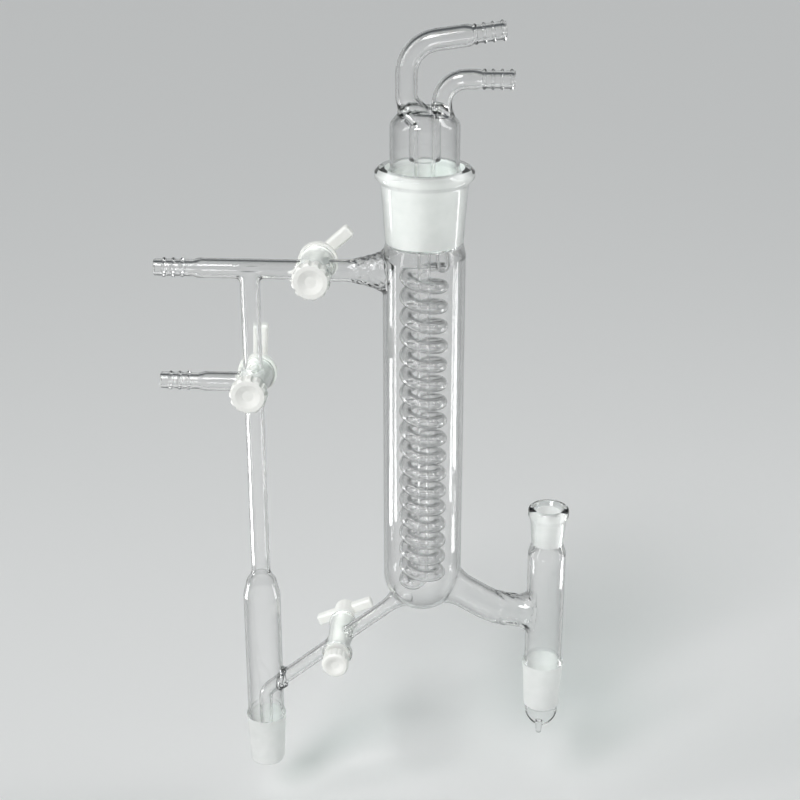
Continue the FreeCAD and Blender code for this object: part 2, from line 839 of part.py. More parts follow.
def washer(size):
    hole = size["stub"] / 2 + running_gap
    top = -size["barrel_front"] - seat_gap * 1.5
    low = top - size["washer_thickness"]
    return turned([(hole, top), (size["washer"] / 2, top), (size["washer"] / 2, low), (hole, low)])


def sealing_ring(size):
    """The rubber ring, with flats where the washer and the nut squeeze it."""
    section = size["ring"] / 2
    middle = size["stub"] / 2 + running_gap + section + 0.6
    z = -size["barrel_front"] - seat_gap * 2 - size["washer_thickness"] - section
    outline = []
    for i in range(8):
        angle = math.pi * (i + 0.5) / 4
        reach = section / math.cos(math.pi / 8)
        outline.append((middle + reach * math.cos(angle), z + reach * math.sin(angle)))
    return turned(outline)


def nut(size):
    """The round grip nut: a scalloped rim, a dished face and a blind hole for the plug's stub."""
    radius = size["nut"] / 2
    top = -size["barrel_front"] - seat_gap * 2.5 - size["washer_thickness"] - size["ring"]
    low = top - size["nut_thickness"]
    hole = size["stub"] / 2 + running_gap
    shape = turned([
        (hole, top),
        (radius - 1.2, top),
        (radius, top - 1.2),
        (radius, low + 1.2),
        (radius - 1.2, low),
        (radius * 0.66, low),
        (radius * 0.3, low + nut_dish),
        (0, low + nut_dish),
        (0, low + nut_face),
        (hole, low + nut_face),
    ])
    groove_radius = math.pi * radius / size["flutes"] * 0.62
    groove_middle = radius + groove_radius - size["flute_depth"]
    grooves = []
    for i in range(size["flutes"]):
        angle = 2 * math.pi * (i + 0.5) / size["flutes"]
        place = Vector(groove_middle * math.cos(angle), groove_middle * math.sin(angle), low - past)
        grooves.append(Part.makeCylinder(groove_radius, size["nut_thickness"] + 2 * past, place))
    return shape.cut(joined(grooves))


def at_stopcock(shape, centre, handle_angle):
    """The shape with its Z axis along +Y at the stopcock's centre, its X axis at the handle's angle."""
    copy = shape.copy()
    turn = Rotation(Vector(0, 1, 0), -handle_angle).multiply(Rotation(Vector(1, 0, 0), -90))
    copy.Placement = Placement(centre, turn)
    return copy


def stopcock_pieces(name, size, centre, handle_angle, three_way):
    pieces = {
        name + "_plug": plug(size, three_way),
        name + "_washer": washer(size),
        name + "_sealing_ring": sealing_ring(size),
        name + "_nut": nut(size),
    }
    return {key: at_stopcock(shape, centre, handle_angle) for key, shape in pieces.items()}


def build():
    nodes = {"glass_head": glass_head(), "coil_condenser": coil_condenser()}
    top_centre = Vector(top_stopcock_x, 0, top_arm_z)
    three_way_centre = Vector(manifold_x, 0, lower_arm_z)
    nodes.update(stopcock_pieces("top_stopcock", large, top_centre, top_handle_angle, False))
    nodes.update(stopcock_pieces("three_way_stopcock", large, three_way_centre, three_way_handle_angle, True))
    nodes.update(stopcock_pieces("takeoff_stopcock", small, takeoff_stopcock(), takeoff_handle_angle, False))
    os.makedirs("parts", exist_ok=True)
    for name, shape in nodes.items():
        shape.exportStep("parts/" + name + ".step")
        box = shape.BoundBox
        print(name, len(shape.Solids), "solids", round(shape.Volume), "mm3", shape.isValid(),
              round(box.XMin, 1), round(box.XMax, 1), round(box.YMin, 1), round(box.YMax, 1),
              round(box.ZMin, 1), round(box.ZMax, 1))


build()
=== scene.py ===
import bpy
import math
import numpy as np
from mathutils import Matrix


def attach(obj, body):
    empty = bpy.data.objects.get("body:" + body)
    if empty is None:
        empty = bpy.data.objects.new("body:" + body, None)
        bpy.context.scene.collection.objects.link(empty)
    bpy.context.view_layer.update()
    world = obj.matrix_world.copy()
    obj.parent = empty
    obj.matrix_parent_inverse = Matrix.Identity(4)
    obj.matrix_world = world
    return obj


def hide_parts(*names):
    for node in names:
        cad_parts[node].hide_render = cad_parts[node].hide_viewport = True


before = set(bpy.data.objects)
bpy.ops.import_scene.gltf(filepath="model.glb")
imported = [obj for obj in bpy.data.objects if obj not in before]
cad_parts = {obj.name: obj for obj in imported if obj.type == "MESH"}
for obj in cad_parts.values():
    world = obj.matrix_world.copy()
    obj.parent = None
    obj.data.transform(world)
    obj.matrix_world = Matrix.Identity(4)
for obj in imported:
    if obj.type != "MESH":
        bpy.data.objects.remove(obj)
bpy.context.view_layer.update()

# Part frame: the origin is on the column's axis at the wide end of its flask cone, +Z up, +Y to the back.
# Lengths below are in millimetres and become metres where a mesh is made.
millimetre = 0.001
overlap = 1.0  # how far a cut runs past the glass
sink = 0.12  # how far under a surface a fillet ends, so that the two cross
taper = 0.05  # of every ground joint, on its radius: 1 in 10 on its width
asGiven = 99.0  # longer than any step, for a path that keeps its own points


def meshFrom(name, vertices, faces):
    mesh = bpy.data.meshes.new(name)
    mesh.from_pydata((np.asarray(vertices) * millimetre).tolist(), [], faces)
    mesh.validate()
    thing = bpy.data.objects.new(name, mesh)
    bpy.context.scene.collection.objects.link(thing)
    return thing


def skin(name, rings):
    # closed surface over rings of points, with a flat cap at each end
    count, sides = rings.shape[:2]
    faces = []
    for row in range(count - 1):
        for i in range(sides):
            j = (i + 1) % sides
            faces.append((row * sides + i, row * sides + j, (row + 1) * sides + j, (row + 1) * sides + i))
    faces.append(tuple(range(sides))[::-1])
    faces.append(tuple((count - 1) * sides + i for i in range(sides)))
    thing = meshFrom(name, rings.reshape(-1, 3), faces)
    return outsideOut(thing)


def outsideOut(thing):
    # turns the faces round when the closed mesh is inside out
    mesh = thing.data
    mesh.calc_loop_triangles()
    points = np.array([v.co[:] for v in mesh.vertices])
    corners = np.array([t.vertices[:] for t in mesh.loop_triangles])
    a, b, c = points[corners[:, 0]], points[corners[:, 1]], points[corners[:, 2]]
    if np.einsum("ij,ij->i", a, np.cross(b, c)).sum() < 0:
        mesh.flip_normals()
    return thing


def arcCorner(before, corner, after, radius, step):
    # points of the tangent arc that rounds a corner
    before, corner, after = (np.asarray(p, float) for p in (before, corner, after))
    back = (before - corner) / np.linalg.norm(before - corner)
    ahead = (after - corner) / np.linalg.norm(after - corner)
    half = math.acos(np.clip(np.dot(back, ahead), -1, 1)) / 2
    reach = radius / math.tan(half)
    middle = (back + ahead) / np.linalg.norm(back + ahead)
    centre = corner + middle * radius / math.sin(half)
    start = corner + back * reach
    turn = math.pi - 2 * half
    count = max(3, math.ceil(turn / step))
    side = (start - centre) / radius
    along = -back
    return [centre + radius * (side * math.cos(turn * k / count) + along * math.sin(turn * k / count))
            for k in range(count + 1)]


def rounded(corners, step=math.radians(11)):
    # points of a path or an outline, (..., rounding) at each corner
    points = []
    for i, corner in enumerate(corners):
        place, radius = corner[:-1], corner[-1]
        if radius == 0 or i in (0, len(corners) - 1):
            points.append(np.asarray(place, float))
        else:
            points.extend(arcCorner(corners[i - 1][:-1], place, corners[i + 1][:-1], radius, step))
    return points


def subdivided(points, longest):
    made = [points[0]]
    for start, end in zip(points, points[1:]):
        count = max(1, math.ceil(np.linalg.norm(end - start) / longest))
        made.extend(start + (end - start) * k / count for k in range(1, count + 1))
    return np.array(made)


def flared(points, outward, joins):
    # pushes ring points outward into a fillet where they near what they are sealed to
    # each join: distance to that glass, the fillet's height and its length along the tube
    for distance, height, length in joins:
        low = np.zeros(points.shape[:2])
        high = np.full(points.shape[:2], float(height))
        for halving in range(18):  # closes in on the push at which the fillet's height fits its gap
            middle = (low + high) / 2
            gap = distance(points + outward * middle[..., None]) + sink
            depth = np.clip(1 - gap / length, 0, 1)
            wanted = height * (1 - np.sqrt(1 - depth ** 2))
            low = np.where(wanted > middle, middle, low)
            high = np.where(wanted > middle, high, middle)
        points = points + outward * low[..., None]
    return points


def turned(name, outline, base=(0, 0, 0), axis="Z", sides=64, longest=3.0, joins=()):
    # closed solid of revolution from corners (radius, distance along the axis, rounding)
    profile = subdivided(rounded(outline), longest)
    keep = profile[:, 0] > 1e-6
    angles = 2 * np.pi * np.arange(sides) / sides
    flat = np.zeros((sides, 3))
    first, second, third = {"Z": (0, 1, 2), "Y": (2, 0, 1), "X": (1, 2, 0)}[axis]
    flat[:, first], flat[:, second] = np.cos(angles), np.sin(angles)
    points = flat[None] * profile[keep, 0][:, None, None]
    points[..., third] += profile[keep, 1][:, None]
    points += np.asarray(base, float)
    outward = np.broadcast_to(flat[None], points.shape)
    return skin(name, flared(points, outward, joins))


def hotGlassWaves(points, spacing, height):
    # uneven waves that a flame leaves where a tube was heated long and widened
    x, y, z = np.moveaxis(points * 2 * np.pi / spacing, -1, 0)
    first = np.sin(0.9 * x + 1.4 * np.sin(0.8 * y + 0.3 * z)) * np.cos(0.8 * y + 0.9 * np.sin(z))
    return height * (first + 0.6 * np.sin(1.1 * z + 0.5 * x + 1.2 * np.sin(0.7 * x + y)))


def tube(name, path, radius, sides=40, longest=3.0, joins=(), waves=None):
    # round rod along a path, its rings carried on from one to the next without a twist
    path = subdivided(path, longest)
    steps = np.diff(path, axis=0)
    steps /= np.linalg.norm(steps, axis=1)[:, None]
    along = np.vstack([steps[:1], steps[:-1] + steps[1:], steps[-1:]])
    along /= np.linalg.norm(along, axis=1)[:, None]
    side = np.array([0.0, 1.0, 0.0])
    across = np.empty_like(along)
    for i, direction in enumerate(along):
        side = side - direction * np.dot(side, direction)
        side /= np.linalg.norm(side)
        across[i] = side
    upright = np.cross(along, across)
    angles = 2 * np.pi * np.arange(sides) / sides
    outward = (np.cos(angles)[None, :, None] * across[:, None]
               + np.sin(angles)[None, :, None] * upright[:, None])
    radii = np.broadcast_to(np.asarray(radius, float), len(path))
    points = path[:, None] + outward * radii[:, None, None]
    if waves is not None:
        points = points + outward * waves(points)[..., None]
    return skin(name, flared(points, outward, joins))


def combined(target, others, operation):
    # one mesh from a target and other closed meshes, by union or difference
    for other in others:
        modifier = target.modifiers.new("combine", "BOOLEAN")
        modifier.operation = operation
        modifier.solver = "MANIFOLD"
        modifier.object = other
    bpy.context.view_layer.update()
    evaluated = target.evaluated_get(bpy.context.evaluated_depsgraph_get())
    mesh = bpy.data.meshes.new_from_object(evaluated)
    target.modifiers.clear()
    target.data = mesh
    for other in others:
        bpy.data.objects.remove(other)
    return target


def levelRun(xs, z):
    return np.stack([xs, np.zeros(len(xs)), np.full(len(xs), z)], axis=1)


def alongPath(points, distances):
    # places at distances along a path of points
    steps = np.linalg.norm(np.diff(points, axis=0), axis=1)
    reached = np.concatenate([[0], np.cumsum(steps)])
    return np.stack([np.interp(distances, reached, points[:, i]) for i in range(3)], axis=1), reached[-1]


# Where the upright tubes and the arms between them stand
places = {
    "condenserX": -72.5,
    "manifoldX": -168.0,
    "topArmZ": 242.0,
    "lowerArmZ": 175.5,
    "hoseEndX": -220.5,
    "topStopcockX": -132.0,
}

# Glass stopcock barrels: lengths before and behind the arm's axis, the plug's taper, the wall, the rolled
# rims, the port through to the plug, and the height and length of the fillets where arms are sealed to it
largeBarrel = {"front": 11.0, "back": 13.5, "boreFront": 4.8, "boreBack": 7.25, "wall": 2.4,
               "rimFront": 8.75, "rimBack": 10.25, "rimWidth": 2.6, "port": 2.0, "seal": (2.0, 2.5)}
smallBarrel = {"front": 18.0, "back": 19.0, "boreFront": 3.9, "boreBack": 5.75, "wall": 2.2,
               "rimFront": 8.9, "rimBack": 8.4, "rimWidth": 2.6, "port": 1.5, "seal": (1.8, 2.6)}
portWall = 0.7  # glass left between an arm's bore and the plug's taper


def plugRadius(barrel, y):
    share = (y + barrel["front"]) / (barrel["front"] + barrel["back"])
    return barrel["boreFront"] + (barrel["boreBack"] - barrel["boreFront"]) * share


def barrelReach(barrel):
    # how near an arm's bore comes to the plug before it narrows to the port
    return plugRadius(barrel, 0) + barrel["wall"] - portWall


# Distances to the glass that other glass is sealed to
def fromUpright(x, radius):
    return lambda p: np.hypot(p[..., 0] - x, p[..., 1]) - radius


def insideUpright(x, radius):
    return lambda p: radius - np.hypot(p[..., 0] - x, p[..., 1])


def fromLevel(z, radius):
    return lambda p: np.hypot(p[..., 1], p[..., 2] - z) - radius


def fromJacket(radius):
    equator = jacket["bottomZ"] + jacket["radius"]
    return lambda p: np.sqrt((p[..., 0] - places["condenserX"]) ** 2 + p[..., 1] ** 2
                             + np.minimum(p[..., 2] - equator, 0) ** 2) - radius


def fromBarrel(barrel, x, z):
    return lambda p: np.hypot(p[..., 0] - x, p[..., 2] - z) - plugRadius(barrel, p[..., 1]) - barrel["wall"]


# Hose ends: a body with low ridges that have steep sides, and a rounded shoulder up to the tube
hose = {"root": 4.7, "crest": 5.4, "bore": 2.8, "ridgeHalf": 1.0, "shoulder": 3.5,
        "lip": 0.5, "lipLength": 0.8,
        "slopeAt": (0, 0.35, 0.65, 1), "slopeHeight": (1, 0.93, 0.6, 0),  # a ridge from crest down to foot
        "armLength": 25.4, "armRidges": (5.5, 10.6, 15.6), "waterLength": 20.5,
        "inletRidges": (1.9, 6.9, 11.6, 16.2), "outletRidges": (1.9, 6.8, 11.5, 16.0)}


def hoseRadius(distance, stem, length, ridges):
    # outside radius at distances from the open end
    radius = np.full(len(distance), hose["root"])
    for crestAt in ridges:
        away = np.abs(distance - crestAt) / hose["ridgeHalf"]
        radius += (hose["crest"] - hose["root"]) * np.interp(away, hose["slopeAt"], hose["slopeHeight"])
    rise = np.clip((distance - length) / hose["shoulder"] + 1, 0, 1)
    radius += (stem - radius) * np.sin(rise * math.pi / 2)
    return radius - hose["lip"] * np.clip(1 - distance / hose["lipLength"], 0, 1) ** 2


def hoseTube(name, corners, radius, bore, length, ridges, joins, boreEnd=0.0):
    # a hose end with its tube, and its bore, along rounded corners that begin at the open end
    path = subdivided(rounded(corners), 1.0)
    total = alongPath(path, [0])[1]
    lip = np.array([0, 0.25, 0.5625, 1]) * hose["lipLength"]
    slope = np.array(hose["slopeAt"]) * hose["ridgeHalf"]
    ridgeSides = np.add.outer(ridges, np.concatenate([-slope, slope])).ravel()
    shoulder = np.arange(length - 4, length, 0.4)
    further = np.arange(length, total, 1.2)
    at = np.unique(np.concatenate([lip, ridgeSides, shoulder, further, [total]]).round(3))
    at = at[at >= 0]
    outside = tube(name, alongPath(path, at)[0], hoseRadius(at, radius, length, ridges), 44, asGiven, joins)
    boreTotal = total - boreEnd
    boreAt = np.unique(np.concatenate([np.arange(0, boreTotal, 1.5), [boreTotal]]))
    centres = alongPath(path, boreAt)[0]
    before = centres[0] - (centres[1] - centres[0]) / np.linalg.norm(centres[1] - centres[0]) * overlap
    radii = np.interp(boreAt, [length - hose["shoulder"], length], [hose["bore"], bore])
    hollow = tube(name + " bore", np.vstack([before, centres]), np.append(hose["bore"], radii), 32, asGiven)
    return outside, hollow


# Top arm: a hose end, a tube to the stopcock, and a wider tube that flares into the condenser's jacket
topArm = {"radius": 5.5, "bore": 4.1, "innerRadius": 6.2, "flareFrom": -113.0, "flareLength": 18.0,
          "flareHeight": 4.8, "flareCurve": 1.3, "waveSpacing": 4.6, "waveHeight": 0.26,
          "jacketSeal": (1.6, 3.5)}


def topArmGlass():
    x, z = places["topStopcockX"], places["topArmZ"]
    barrel = fromBarrel(largeBarrel, x, z)
    reach = barrelReach(largeBarrel)
    left = [(places["hoseEndX"], 0, z, 0), (x, 0, z, 0)]
    barrelJoin = (barrel, *largeBarrel["seal"])
    outside, hollow = hoseTube("top arm", left, topArm["radius"], topArm["bore"], hose["armLength"],
                               hose["armRidges"], [barrelJoin], reach)
    jacketX = places["condenserX"] - jacket["radius"]
    wall = topArm["radius"] - topArm["bore"]

    def flareRadius(xs):
        share = np.clip((xs - topArm["flareFrom"]) / topArm["flareLength"], 0, 1.2)
        return topArm["innerRadius"] + topArm["flareHeight"] * share ** topArm["flareCurve"]

    def flareWaves(points):
        begun = np.clip((points[..., 0] - topArm["flareFrom"] + 1) / 4, 0, 1)
        return begun * hotGlassWaves(points, topArm["waveSpacing"], topArm["waveHeight"])

    def boreWaves(points):
        return flareWaves(points[..., [0, 2, 1]])  # turned a quarter, so that the wall's thickness varies too

    xs = np.arange(x, jacketX + 3.5, 0.6)
    inner = tube("top arm inner", levelRun(xs, z), flareRadius(xs), 72, asGiven,
                 [barrelJoin, (fromJacket(jacket["radius"]), *topArm["jacketSeal"])], flareWaves)
    xs = np.arange(x + reach, jacketX + 5.5, 0.6)
    innerBore = tube("top arm inner bore", levelRun(xs, z), flareRadius(xs) - wall, 60, asGiven,
                     waves=boreWaves)
    run = levelRun(np.array([x - reach - overlap, x + reach + overlap]), z)
    return [outside, inner], [hollow, innerBore, tube("top port", run, largeBarrel["port"], 32)]


# Manifold: the upright tube, the three-way stopcock's ports, the side hose end and the receiver below
manifold = {"radius": 5.5, "bore": 4.0, "topSeal": (2.4, 2.6), "topBoreSeal": (2.5, 3.0),
            "receiver": 11.0, "receiverWall": 1.5, "shoulderZ": 54.5, "shoulder": 8.6, "shoulderBore": 7.1,
            "cone": 12.0, "coneZ": -43.5, "coneEnd": 10.45, "coneEndZ": -74.6, "lip": 9.8, "endZ": -76.0,
            "coneTopBore": 10.1, "coneBore": 8.65}


def manifoldGlass():
    x, z, topZ = places["manifoldX"], places["lowerArmZ"], places["topArmZ"]
    barrel = fromBarrel(largeBarrel, x, z)
    reach = barrelReach(largeBarrel)
    tubeRadius, bore = manifold["radius"], manifold["bore"]
    wide, inside = manifold["receiver"], manifold["receiver"] - manifold["receiverWall"]
    shoulder, cone = manifold["shoulderZ"], manifold["coneZ"]
    coneEnd, end, coneBore = manifold["coneEndZ"], manifold["endZ"], manifold["coneBore"]
    barrelJoin = (barrel, *largeBarrel["seal"])
    upper = tube("manifold upper", np.array([(x, 0, topZ), (x, 0, z)]), tubeRadius, 48, 1.0,
                 [(fromLevel(topZ, topArm["radius"]), *manifold["topSeal"]), barrelJoin])
    upperBore = tube("manifold upper bore", np.array([(x, 0, topZ), (x, 0, z + reach)]), bore, 32, 1.0,
                     [(fromLevel(topZ, topArm["bore"]), *manifold["topBoreSeal"])])
    lower = turned("receiver", [
        (0, z, 0), (tubeRadius, z, 0), (tubeRadius, shoulder, 3.5),  # tube below the stopcock
        (manifold["shoulder"], shoulder - 5, 6), (wide, shoulder - 14.5, 8), (wide, cone + 4, 2),
        (manifold["cone"], cone, 0.3), (manifold["coneEnd"], coneEnd, 0.8),  # ground cone
        (manifold["lip"], end, 0.8), (0, end, 0)], (x, 0, 0), "Z", 64, 2.5, [barrelJoin])
    lowerBore = turned("receiver bore", [
        (0, z - reach, 0), (bore, z - reach, 0), (bore, shoulder - 0.7, 3.5),
        (manifold["shoulderBore"], shoulder - 5.6, 5), (inside, shoulder - 15, 7), (inside, cone + 3.5, 2),
        (manifold["coneTopBore"], cone - 1, 0.5), (coneBore, cone - 29, 0.5),
        (coneBore, end - overlap, 0), (0, end - overlap, 0)], (x, 0, 0), "Z", 56, 2.5)
    sideOutside, sideHollow = hoseTube("lower arm", [(places["hoseEndX"], 0, z, 0), (x, 0, z, 0)],
                                       topArm["radius"], topArm["bore"], hose["armLength"], hose["armRidges"],
                                       [barrelJoin], reach)
    port = largeBarrel["port"]
    cut = reach + overlap
    upright = tube("upright port", np.array([(x, 0, z - cut), (x, 0, z + cut)]), port, 32)
    side = tube("side port", np.array([(x - cut, 0, z), (x, 0, z)]), port, 32)
    return [upper, lower, sideOutside], [upperBore, lowerBore, sideHollow, upright, side]


# Condenser's body: rolled rim, ground socket, jacket and round bottom
jacket = {"radius": 22.5, "wall": 1.8, "bottomZ": 36.0, "rimZ": 300.0, "bead": 26.8, "mouth": 21.3,
          "ground": 20.0, "groundTopZ": 297.0, "groundLength": 38.0, "socketTop": 23.5, "socketLow": 21.2}


def condenserGlass():
    r, wall, low = jacket["radius"], jacket["wall"], jacket["bottomZ"]
    rim, bead, mouth = jacket["rimZ"], jacket["bead"], jacket["mouth"]
    ground, groundTop = jacket["ground"], jacket["groundTopZ"]
    groundLow = groundTop - jacket["groundLength"]
    groundEnd = ground - jacket["groundLength"] * taper
    inside = r - wall
    base = (places["condenserX"], 0, 0)
    outside = turned("condenser", [
        (0, rim, 0), (bead - 2.2, rim, 1.2), (bead, rim - 2.3, 1.4), (bead - 0.1, rim - 5.2, 1.7),
        (jacket["socketTop"], rim - 8.4, 2.0), (jacket["socketLow"], groundLow - 0.5, 2),  # socket's wall
        (r, groundLow - 6.5, 3), (r, low, r - 0.1), (0, low, 0)],  # jacket and round bottom
        base, "Z", 88, 3.0)
    hollow = turned("condenser bore", [
        (0, rim + overlap, 0), (mouth + 0.3, rim + overlap, 0), (mouth, rim - 0.2, 0.6),
        (ground, groundTop, 1.5), (groundEnd, groundLow, 0.8), (groundEnd, groundLow - 2, 1.5),
        (inside, groundLow - 8.5, 3), (inside, low + wall, inside - 0.1), (0, low + wall, 0)],
        base, "Z", 88, 3.0)
    return [outside], [hollow]


# Column: bead, thermometer socket, tube, ground cone, and a lip cut at a slant with a drip nub at its point
column = {"radius": 11.0, "bore": 9.5, "rimZ": 102.0, "bead": 11.7, "beadFoot": 10.35, "mouth": 8.9,
          "socket": 7.25, "socketFoot": 6.1, "socketFootZ": 78.0, "socketWall": 9.25,
          "cone": 12.0, "coneLength": 29.0, "coneTopBore": 10.1, "coneBore": 8.7, "lipRadius": 9.75,
          "lipBore": 8.35, "lipBackZ": -30.5, "lipFrontZ": -40.0, "lipSideSlope": 12.0,
          "nub": 1.75, "nubX": -1.2, "nubEndZ": -45.0}


def columnGlass():
    r, bore, rim, bead, mouth = (column[k] for k in ("radius", "bore", "rimZ", "bead", "mouth"))
    cone, length, footZ = column["cone"], column["coneLength"], column["socketFootZ"]
    lip, lipBore = column["lipRadius"], column["lipBore"]
    low = column["lipFrontZ"] - 4  # left long here and cut at a slant later
    outside = turned("column", [
        (0, rim, 0), (bead, rim, 1.8), (bead, rim - 4.9, 2.2),  # rolled bead
        (column["beadFoot"], rim - 7.6, 1.4), (column["socketWall"], footZ + 1.2, 1.2),
        (r, footZ - 4.8, 2.6), (r, 3.5, 2), (cone, 0, 0.3),  # tube
        (cone - length * taper, -length, 0.4), (lip, -length - 1.3, 0.6),  # ground cone
        (lip, low, 0), (0, low, 0)], (0, 0, 0), "Z", 64, 2.5)
    hollow = turned("column bore", [
        (0, rim + overlap, 0), (mouth + 0.5, rim + overlap, 0), (mouth, rim - 0.4, 0.6),
        (column["socket"], rim - 2.4, 1.4), (column["socketFoot"], footZ, 1),
        (bore, footZ - 6.6, 2.6), (bore, 4.5, 2), (column["coneTopBore"], -1, 0.5),
        (column["coneBore"], -length, 0.5), (lipBore, -length - 2, 0.5), (lipBore, low - overlap, 0),
        (0, low - overlap, 0)], (0, 0, 0), "Z", 64, 2.5)
    return [outside], [hollow]


def lipCuts():
    # the blocks below the two slanted planes that end the column in a point at the front
    backZ, frontZ = column["lipBackZ"], column["lipFrontZ"]
    slope = math.atan2(backZ - frontZ, 2 * column["lipRadius"])
    sideways = math.tan(math.radians(column["lipSideSlope"])) / math.cos(slope)
    half, bottom = 30, -90  # the blocks' half width and foot, well clear of the column
    blocks = []
    for side in (1, -1):
        corners = []
        for y in (-half, half):
            for x, low in ((-half, False), (half, False), (half, True), (-half, True)):
                surface = (backZ + frontZ) / 2 + math.tan(slope) * y + side * sideways * x
                corners.append((x, y, bottom if low else surface))
        faces = [(0, 1, 2, 3), (7, 6, 5, 4), (0, 4, 5, 1), (1, 5, 6, 2), (2, 6, 7, 3), (3, 7, 4, 0)]
        blocks.append(outsideOut(meshFrom("lip cut", corners, faces)))
    return blocks


def dripNub():
    nub, end = column["nub"], column["nubEndZ"]
    front = -(column["lipRadius"] + column["lipBore"]) / 2
    return turned("drip nub", [
        (0, end + 8.5, 0), (nub + 0.55, end + 8.5, 0), (nub + 0.15, end + 4.5, 2),
        (nub, end, nub - 0.05), (0, end, 0)], (column["nubX"], front, 0), "Z", 28, 0.8)


# Vapour arm: from the column down one side and up into the condenser
vapour = {"cornerX": -30.0, "cornerZ": 35.3, "slope": 30.0, "endSlope": 6.0, "bend": 36.0, "radius": 9.6,
          "bore": 8.1, "jacketSeal": (3.2, 8.0), "jacketBoreSeal": (3.2, 9.5), "columnSeal": (3.6, 7.0),
          "columnBoreSeal": (3.6, 8.5), "waveSpacing": 6.8, "waveHeight": 0.24, "wavesFrom": -34.0}


def vapourArmGlass():
    slope, endSlope = math.tan(math.radians(vapour["slope"])), math.tan(math.radians(vapour["endSlope"]))
    cornerX, cornerZ = vapour["cornerX"], vapour["cornerZ"]
    startX, endX = places["condenserX"] + jacket["radius"] - 9, -5.5
    corners = [(startX, 0, cornerZ + (cornerX - startX) * slope, 0), (cornerX, 0, cornerZ, vapour["bend"]),
               (endX, 0, cornerZ - (endX - cornerX) * endSlope, 0)]
    path = subdivided(rounded(corners), 1.0)

    def bendWaves(points):
        begun = np.clip((points[..., 0] - vapour["wavesFrom"]) / 8, 0, 1)
        return begun * hotGlassWaves(points, vapour["waveSpacing"], vapour["waveHeight"])

    def boreWaves(points):
        return bendWaves(points[..., [0, 2, 1]])

    outside = tube("vapour arm", path, vapour["radius"], 64, 1.0,
                   [(fromJacket(jacket["radius"]), *vapour["jacketSeal"]),
                    (fromUpright(0, column["radius"]), *vapour["columnSeal"])], bendWaves)
    hollow = tube("vapour bore", path, vapour["bore"], 48, 1.0,
                  [(fromJacket(jacket["radius"] - jacket["wall"]), *vapour["jacketBoreSeal"]),
                   (fromUpright(0, column["bore"]), *vapour["columnBoreSeal"])], boreWaves)
    return [outside], [hollow]


# Take-off arm: from the condenser through its stopcock into the receiver, where it turns down as a drip tube
takeoff = {"reach": 16.0, "topZ": 38.0, "slope": 39.5, "radius": 4.25, "bore": 2.75, "sunk": 8.0,
           "bend": 11.0, "jacketSeal": (4.6, 12.0), "jacketBoreSeal": (4.6, 13.0), "receiverSeal": (2.4, 3.6),
           "dripRadius": 4.0, "dripBore": 2.8, "dripEndZ": -54.0, "dripSeal": (1.8, 2.6),
           "stopcockAlong": 43.0}


def takeoffPoint(distance):
    slope = math.radians(takeoff["slope"])
    startX = places["condenserX"] - takeoff["reach"]
    return np.array([startX - distance * math.cos(slope), 0, takeoff["topZ"] - distance * math.sin(slope)])


def takeoffGlass():
    slope = math.radians(takeoff["slope"])
    along = takeoff["stopcockAlong"]
    centre = takeoffPoint(along)
    barrel = fromBarrel(smallBarrel, centre[0], centre[2])
    receiverX = places["manifoldX"]
    startX = places["condenserX"] - takeoff["reach"]
    inside = manifold["receiver"] - manifold["receiverWall"]
    sealRun = (startX - (receiverX + inside + 0.7)) / math.cos(slope)
    cornerRun = (startX - receiverX) / math.cos(slope)

    def straight(begin, end):
        return np.array([takeoffPoint(begin), takeoffPoint(end)])

    outside = tube("takeoff arm", straight(-takeoff["sunk"], sealRun), takeoff["radius"], 44, 0.8,
                   [(fromJacket(jacket["radius"]), *takeoff["jacketSeal"]), (barrel, *smallBarrel["seal"]),
                    (fromUpright(receiverX, manifold["receiver"]), *takeoff["receiverSeal"])])
    reach = barrelReach(smallBarrel)
    upper = tube("takeoff bore upper", straight(-takeoff["sunk"], along - reach), takeoff["bore"], 32, 0.8,
                 [(fromJacket(jacket["radius"] - jacket["wall"]), *takeoff["jacketBoreSeal"])])
    lower = tube("takeoff bore lower", straight(along + reach, sealRun), takeoff["bore"], 32, 2.0)
    port = tube("takeoff port", straight(along - reach - overlap, along + reach + overlap),
                smallBarrel["port"], 32, 2.0)
    seal, corner = takeoffPoint(sealRun), takeoffPoint(cornerRun)
    down = (receiverX, 0, takeoff["dripEndZ"], 0)
    dripPath = rounded([(*seal, 0), (*corner, takeoff["bend"]), down])
    drip = tube("drip tube", np.array(dripPath), takeoff["dripRadius"], 44, 0.8,
                [(insideUpright(receiverX, inside), *takeoff["dripSeal"])])
    borePath = rounded([(*takeoffPoint(sealRun - overlap), 0), (*corner, takeoff["bend"]),
                        (*down[:2], down[2] - overlap, 0)])
    dripBore = tube("drip bore", np.array(borePath), takeoff["dripBore"], 32, 1.5)
    return [outside], [drip], [upper, lower, port, dripBore]


def barrelGlass(name, barrel, centre):
    # a stopcock's barrel with its rolled rims, and the taper that the plug turns in
    front, back, rim = -barrel["front"], barrel["back"], barrel["rimWidth"]
    lowWall = plugRadius(barrel, front + rim * 1.8) + barrel["wall"]
    highWall = plugRadius(barrel, back - rim * 1.8) + barrel["wall"]
    rimFront, rimBack = barrel["rimFront"], barrel["rimBack"]
    outside = turned(name, [
        (0, front, 0), (rimFront, front, 1.0), (rimFront, front + rim * 0.8, 1.0),
        (lowWall, front + rim * 1.8, 1.0), (highWall, back - rim * 1.8, 1.0),
        (rimBack, back - rim * 0.8, 1.0), (rimBack, back, 1.0), (0, back, 0)], centre, "Y", 64, 1.2)
    cutFront, cutBack = front - overlap, back + overlap
    hollow = turned(name + " taper", [
        (0, cutFront, 0), (plugRadius(barrel, cutFront), cutFront, 0),
        (plugRadius(barrel, cutBack), cutBack, 0), (0, cutBack, 0)], centre, "Y", 64, 2.0)
    return outside, hollow


